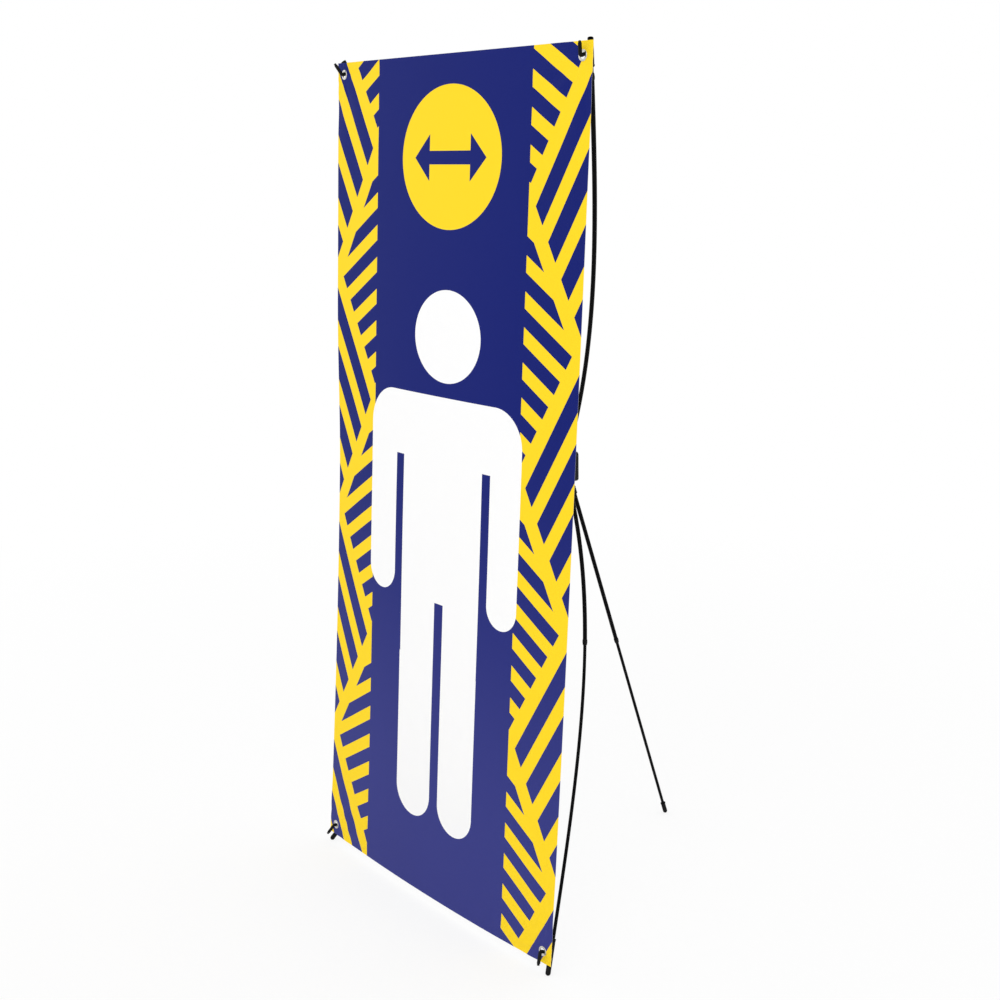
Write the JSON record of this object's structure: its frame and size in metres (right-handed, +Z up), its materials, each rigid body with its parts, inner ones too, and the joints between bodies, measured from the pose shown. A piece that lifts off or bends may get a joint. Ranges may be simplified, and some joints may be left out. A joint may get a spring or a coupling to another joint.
{
  "type": "x banner stand",
  "caption": "Free-standing X frame of sprung poles on a folding hub, which holds a tall printed sheet by its corner rings, with a rear prop leg",
  "frame": {"origin": "on the floor, under the middle of the whole stand as it stands open", "axes": "+Z up, +X to the right of someone facing the print, +Y to the back, where the prop leg is"},
  "size_m": [0.8, 0.7926, 1.8285],
  "materials": {
    "moulded_plastic": "black injection-moulded nylon with a fine satin texture",
    "pole": "black pultruded glass fibre with a smooth satin gloss and a faint lengthwise grain",
    "dark_steel": "blackened steel rivets and screws",
    "nickel": "bright nickel plate on pressed brass rings",
    "foot_rubber": "black rubber cap, matt",
    "printed_film": "white film, printed on the front in deep blue, yellow and white with a matt laminate; the back is bare white"
  },
  "bodies": {
    "hub": {"hub_front_shell": "moulded_plastic", "hub_rear_shell": "moulded_plastic", "hub_screw_upper": "dark_steel", "hub_screw_lower": "dark_steel", "pivot_pin_upper_left": "dark_steel", "pivot_pin_upper_right": "dark_steel", "pivot_pin_lower_left": "dark_steel", "pivot_pin_lower_right": "dark_steel", "pivot_pin_leg": "dark_steel", "banner_sheet": "printed_film"},
    "arm_upper_left": {"knuckle_upper_left": "moulded_plastic", "pole_tube_upper_left": "pole", "pole_collar_upper_left": "moulded_plastic", "pole_rod_upper_left": "pole", "banner_hook_upper_left": "moulded_plastic", "grommet_upper_left": "nickel", "grommet_washer_upper_left": "nickel"},
    "arm_upper_right": {"knuckle_upper_right": "moulded_plastic", "pole_tube_upper_right": "pole", "pole_collar_upper_right": "moulded_plastic", "pole_rod_upper_right": "pole", "banner_hook_upper_right": "moulded_plastic", "grommet_upper_right": "nickel", "grommet_washer_upper_right": "nickel"},
    "arm_lower_left": {"knuckle_lower_left": "moulded_plastic", "pole_tube_lower_left": "pole", "pole_collar_lower_left": "moulded_plastic", "pole_rod_lower_left": "pole", "hook_foot_lower_left": "moulded_plastic", "grommet_lower_left": "nickel", "grommet_washer_lower_left": "nickel"},
    "arm_lower_right": {"knuckle_lower_right": "moulded_plastic", "pole_tube_lower_right": "pole", "pole_collar_lower_right": "moulded_plastic", "pole_rod_lower_right": "pole", "hook_foot_lower_right": "moulded_plastic", "grommet_lower_right": "nickel", "grommet_washer_lower_right": "nickel"},
    "rear_leg": {"knuckle_leg": "moulded_plastic", "pole_tube_leg": "pole", "pole_collar_leg": "moulded_plastic", "pole_rod_leg": "pole", "leg_foot": "foot_rubber"}
  },
  "joints": [
    {"name": "fold_upper_left", "type": "hinge", "parent": "hub", "child": "arm_upper_left", "pos_m": [-0.014, -0.01146, 0.97776], "axis": [0, 0.9986, 0.0523], "range_deg": [0, 23.3], "deforming": ["banner_sheet"]},
    {"name": "fold_upper_right", "type": "hinge", "parent": "hub", "child": "arm_upper_right", "pos_m": [0.014, -0.01146, 0.97776], "axis": [0, -0.9986, -0.0523], "range_deg": [0, 23.3]},
    {"name": "fold_lower_left", "type": "hinge", "parent": "hub", "child": "arm_lower_left", "pos_m": [-0.014, -0.00936, 0.93781], "axis": [0, -0.9986, -0.0523], "range_deg": [0, 22.4]},
    {"name": "fold_lower_right", "type": "hinge", "parent": "hub", "child": "arm_lower_right", "pos_m": [0.014, -0.00936, 0.93781], "axis": [0, 0.9986, 0.0523], "range_deg": [0, 22.4]},
    {"name": "fold_leg", "type": "hinge", "parent": "hub", "child": "rear_leg", "pos_m": [0, 0.00771, 0.93871], "axis": [-1, 0, 0], "range_deg": [0, 19.3]}
  ],
  "couplings": [
    {"joint": "fold_upper_right", "follows": "fold_upper_left", "ratio": 1},
    {"joint": "fold_lower_left", "follows": "fold_upper_left", "ratio": 0.961},
    {"joint": "fold_lower_right", "follows": "fold_upper_left", "ratio": 0.961}
  ]
}
